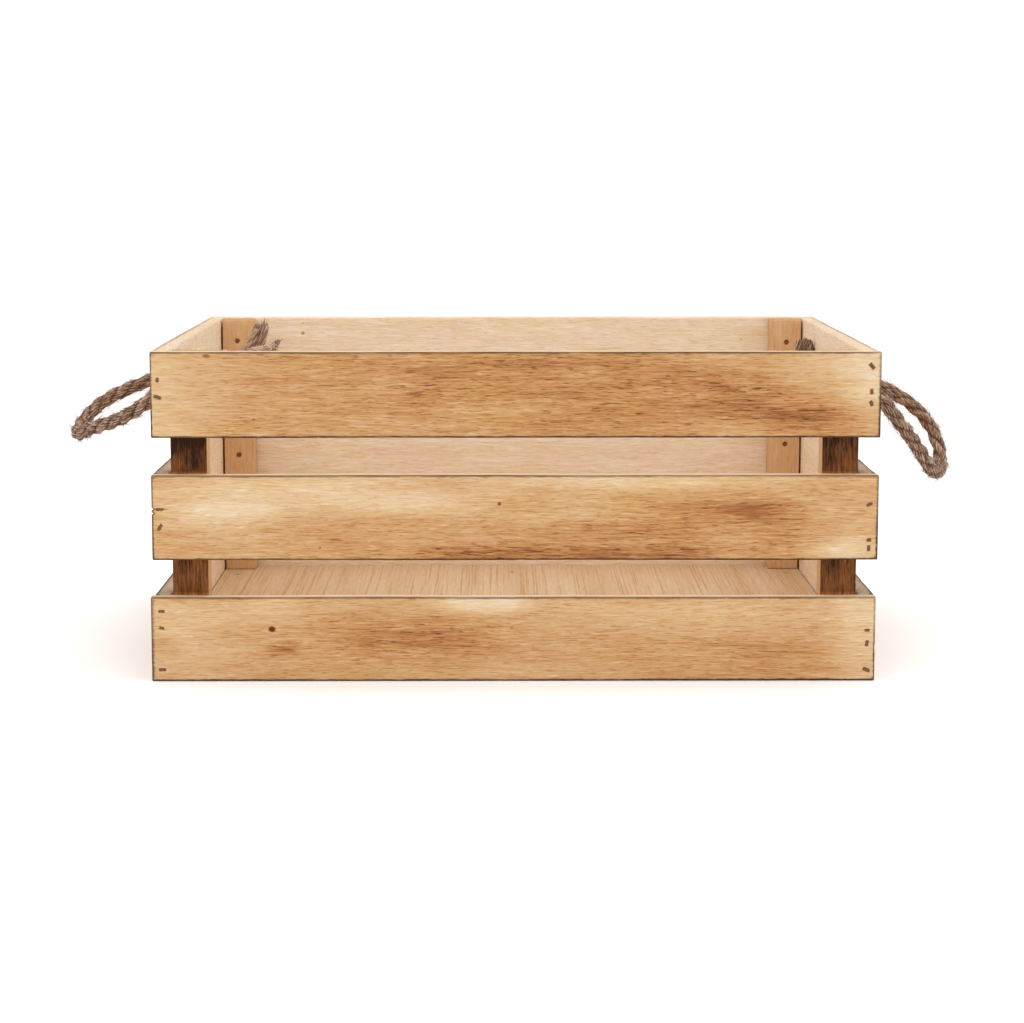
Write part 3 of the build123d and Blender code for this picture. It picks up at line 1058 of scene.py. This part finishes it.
def cut_rope_holes(made, side):
    """The two drilled holes for the rope, a little ragged at the rim."""
    around = 40
    angle = full_turn(around)
    rng = np.random.default_rng(5)
    for corner in SIDE_Y.values():
        radius = HOLE_RADIUS + rng.uniform(-HOLE_RAGGED, HOLE_RAGGED, around)
        y = corner * HOLE_Y / MM + radius * np.cos(angle)
        z = HOLE_Z / MM + radius * np.sin(angle)
        ends = (WALL_IN / MM - 2, WALL_OUT / MM + 2)
        rings = [np.stack([np.full(around, SIDE_X[side] * x), y, z], 1) for x in ends]
        faces = tube_faces(2, around, 0)
        cutter = mesh_object("hole", np.concatenate(rings), faces, made.data.materials[0])
        bpy.context.view_layer.update()
        boolean = made.modifiers.new("hole", "BOOLEAN")
        boolean.operation, boolean.solver, boolean.object = "DIFFERENCE", "EXACT", cutter
        bpy.context.view_layer.update()
        graph = bpy.context.evaluated_depsgraph_get()
        mesh = bpy.data.meshes.new_from_object(made.evaluated_get(graph), depsgraph=graph)
        made.modifiers.clear()
        made.data = mesh
        bpy.data.objects.remove(cutter)


# ---- the crate's boards
FRONT_LOOKS = {
    "top": {
        "burn": 0.62,
        "trim": (-0.5, 0.8),
        "clouds": (
            (-205, 0, 50, 60, -0.42), (195, 14, 48, 22, -0.50), (200, -4, 26, 30, -0.25),
            (-20, 16, 78, 9, 0.22), (-55, 0, 16, 18, 0.16), (40, 4, 80, 24, 0.14),
            (105, 2, 34, 12, 0.20), (140, -6, 44, 11, 0.34), (168, -14, 24, 10, 0.30),
        ),
        "marks": (
            (-168.5, 21.6, 2.0, 1.2, 0.62), (-112.5, 1.8, 5.0, 1.0, 0.10), (-143, -13.5, 0.9, 0.7, 0.4),
        ),
    },
    "middle": {
        "burn": 0.46,
        "trim": (0.0, 0.5),
        "clouds": (
            (-120, 13, 100, 15, -0.34), (-165, -1, 36, 11, -0.28), (-40, 10, 50, 9, -0.20),
            (50, 21, 100, 7, -0.38), (40, -21, 120, 7, 0.52), (-90, -8, 60, 9, 0.10),
            (40, -8, 60, 8, 0.22), (142, 3.5, 26, 7, 0.40), (112, 6, 44, 4, 0.14), (105, 2, 60, 12, 0.28),
            (150, -10, 26, 9, 0.20), (182, -18, 24, 9, -0.45), (70, -15, 110, 8, 0.18),
        ),
        "marks": ((-8.5, 7.8, 1.1, 1.0, 0.9), (-107.5, -16.6, 0.8, 0.7, 0.5)),
        "splits": ((-200.0, -187.0, 4.8, 0.5), (-200.0, -196.5, 2.4, 0.5)),
    },
    "bottom": {
        "burn": 0.46,
        "trim": (1.4, 0.0),
        "clouds": (
            (-18, 20, 34, 6, -0.55), (-75, 3, 58, 12, 0.32), (-30, -2, 32, 8, 0.24),
            (-127, -5.5, 13, 4.5, 0.60), (-190, -4, 40, 40, -0.22), (-140, 16, 40, 9, -0.20),
            (140, -8, 40, 9, 0.22), (150, -18, 34, 6, 0.16), (195, 4, 22, 50, -0.34),
            (90, 16, 90, 10, -0.20), (-60, -8, 76, 6, 0.16), (-196, -4, 10, 9, 0.24),
        ),
        "marks": ((-134.5, 5.7, 2.0, 1.5, 1.1),),
    },
}
# pale lightens the inward faces: partly cleaner wood, partly painted light against the shade inside the
# crate, most on the middle slat
REAR_LOOKS = {
    "top": {
        "pale": 0.07,
        "inner_marks": (
            (-138.6, 13.2, 1.2, 1.0, 0.9), (-138.6, 20.0, 1.0, 0.8, 0.35), (152.0, 8.8, 1.0, 0.9, 0.4),
        ),
    },
    "middle": {"pale": 0.11},
    "bottom": {"pale": 0.05},
}
# grey painted shade on the end slats' top faces, strongest on the middle and bottom ones under the slat
# above
END_LOOKS = {
    "top": {"pale": 0.19, "top_shade": 0.32, "upper_line": 0.7},
    "middle": {"pale": 0.19, "top_shade": 0.75, "upper_line": 1.9},
    "bottom": {"pale": 0.19, "top_shade": 0.75, "upper_line": 1.9},
}
# how dark each gap leaves the posts at its bottom and top: burn, and painted shade that grows towards the
# slat above
GAP_BURNS_AND_SHADE = ((0.90, 1.00), (0.97, 1.26))
UNSEEN_SEED = 40
BOARD_SEED = 100
PANEL_SEED = 900

# The length and height of a board that its scattered clouds lie on
LONG_FIELD = (400, 47)
END_FIELD = (290, 47)


def unseen_looks(rng, field, count):
    """Torch clouds and scorch for a board whose outward face is out of the main view."""
    length, height = field
    clouds = [(-length / 2, 0, 42, 50, -0.3), (length / 2, 0, 42, 50, -0.3)]
    for _ in range(count):
        place = (rng.uniform(-0.45, 0.45) * length, rng.uniform(-0.45, 0.45) * height)
        size = (rng.uniform(18, 70), rng.uniform(6, 14))
        clouds.append((*place, *size, rng.uniform(-0.35, 0.45)))
    return {"clouds": clouds, "burn": rng.uniform(0.45, 0.6)}


def make_boards():
    """Every wooden piece of the crate."""
    slat = slat_wood("torched_slat_wood", calm=1.25)
    post = slat_wood("post_wood", base=0.335, calm=0.85, char=0.42, specular=0.1)
    bearer = slat_wood("bearer_wood", base=0.22)
    panel = panel_wood("floor_plywood")
    rng = np.random.default_rng(UNSEEN_SEED)
    seed = BOARD_SEED
    for level in LEVELS:
        for side, sign in SIDE_Y.items():
            seed += 10
            if side == "front":
                looks = FRONT_LOOKS[level]
            else:
                looks = REAR_LOOKS[level] | unseen_looks(rng, LONG_FIELD, 9)
            board(f"{side}_slat_{level}", slat, 0, 1, sign, seed, **looks)
        for side, sign in SIDE_X.items():
            seed += 10
            looks = END_LOOKS[level] | unseen_looks(rng, END_FIELD, 7)
            made = board(f"{side}_end_slat_{level}", slat, 1, 0, sign, seed, **looks)
            if level == "top":
                cut_rope_holes(made, side)
    gaps = []
    for below, above, burns in zip(LEVELS, LEVELS[1:], GAP_BURNS_AND_SHADE):
        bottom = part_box(f"front_slat_{below}")[1].z / MM
        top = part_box(f"front_slat_{above}")[0].z / MM
        gaps.append((bottom, top, *burns))
    for side_y, sign in SIDE_Y.items():
        for side_x in SIDE_X:
            seed += 10
            board(f"corner_post_{side_y}_{side_x}", post, 2, 1, sign, seed, burn=0.10,
                  slot="post_wood", gaps=gaps, wear=0.8, play=0.9)
    for name in ("left", "middle", "right"):
        seed += 10
        board(f"floor_bearer_{name}", bearer, 1, 2, -1, seed, burn=0.1, slot="bearer_wood")
    board("bottom_panel", panel, 1, 2, 1, PANEL_SEED, burn=0.0, slot="floor_plywood", wear=0.5,
          steps=(4.0, 4.0, 1.0))


# ---- stage and light
FLOOR_RINGS = (400.0, 1500.0, 6000.0, 25000.0)
FLOOR_TONES = ((0.3, (0.97, 0.97, 0.97, 1.0)), (0.7, (0.98, 0.98, 0.98, 1.0)))
SKY_STRENGTH = 1.04
LAMP_TARGET = np.array([0.0, 0.0, 0.08])
LAMP_SIZE = 1.6

# Where each lamp is, and its power
LAMPS = {"key": ((-0.9, -1.6, 1.9), 4.0), "top": ((0.2, -0.1, 2.2), 15.0)}


def make_floor():
    """A wide pale floor."""
    g = Graph("studio_floor")
    mottle = g.noise(g.node("TexCoord").outputs["Object"], (0.6, 0.6, 0.6), 3.0)
    g.finish(g.ramp(mottle, FLOOR_TONES), 0.9, g.bump(mottle, 0.0001), 0.1)
    around = 64
    angle = full_turn(around)
    rings = [np.stack([r * np.cos(angle), r * np.sin(angle), np.zeros(around)], 1) for r in FLOOR_RINGS]
    quads, caps = tube_faces(len(rings), around, 0)
    faces = [quads[:, ::-1], caps[:1, ::-1]]
    mesh_object("studio_floor", np.concatenate(rings), faces, g.material)


def make_light():
    """Even studio light from all round, a little stronger from above."""
    world = bpy.data.worlds.new("studio")
    bpy.context.scene.world = world
    world.use_nodes = True
    sky = world.node_tree.nodes["Background"]
    sky.inputs["Color"].default_value = (1.0, 1.0, 1.0, 1.0)
    sky.inputs["Strength"].default_value = SKY_STRENGTH
    for name, (place, power) in LAMPS.items():
        data = bpy.data.lights.new(name, "AREA")
        data.shape = "DISK"
        data.size = LAMP_SIZE
        data.energy = power
        lamp = scene_object(name, data)
        lamp.location = place
        lamp.rotation_mode = "QUATERNION"
        lamp.rotation_quaternion = Vector(LAMP_TARGET - place).to_track_quat("-Z", "Y")
    bpy.context.scene.view_settings.view_transform = "Standard"


# ---- assembly
make_camera()
jute_rope = jute("jute_rope")
for side in SIDE_X:
    for corner in SIDE_Y:
        knot = rope_knot(side, corner, jute_rope)
        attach(knot, "root")
        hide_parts(f"{side}_rope_knot_{corner}")
for side, route in (("left", LEFT_ROUTE), ("right", RIGHT_ROUTE)):
    handle, path, length = handle_rope(side, route, jute_rope)
    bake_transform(handle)
    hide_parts(f"{side}_rope_loop")
make_boards()
steel = nail_steel("nail_steel")
for node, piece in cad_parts.items():
    if node.endswith(("_nails", "_pins")):
        piece.data.materials.clear()
        piece.data.materials.append(steel)
make_floor()
make_light()

bpy.context.view_layer.update()
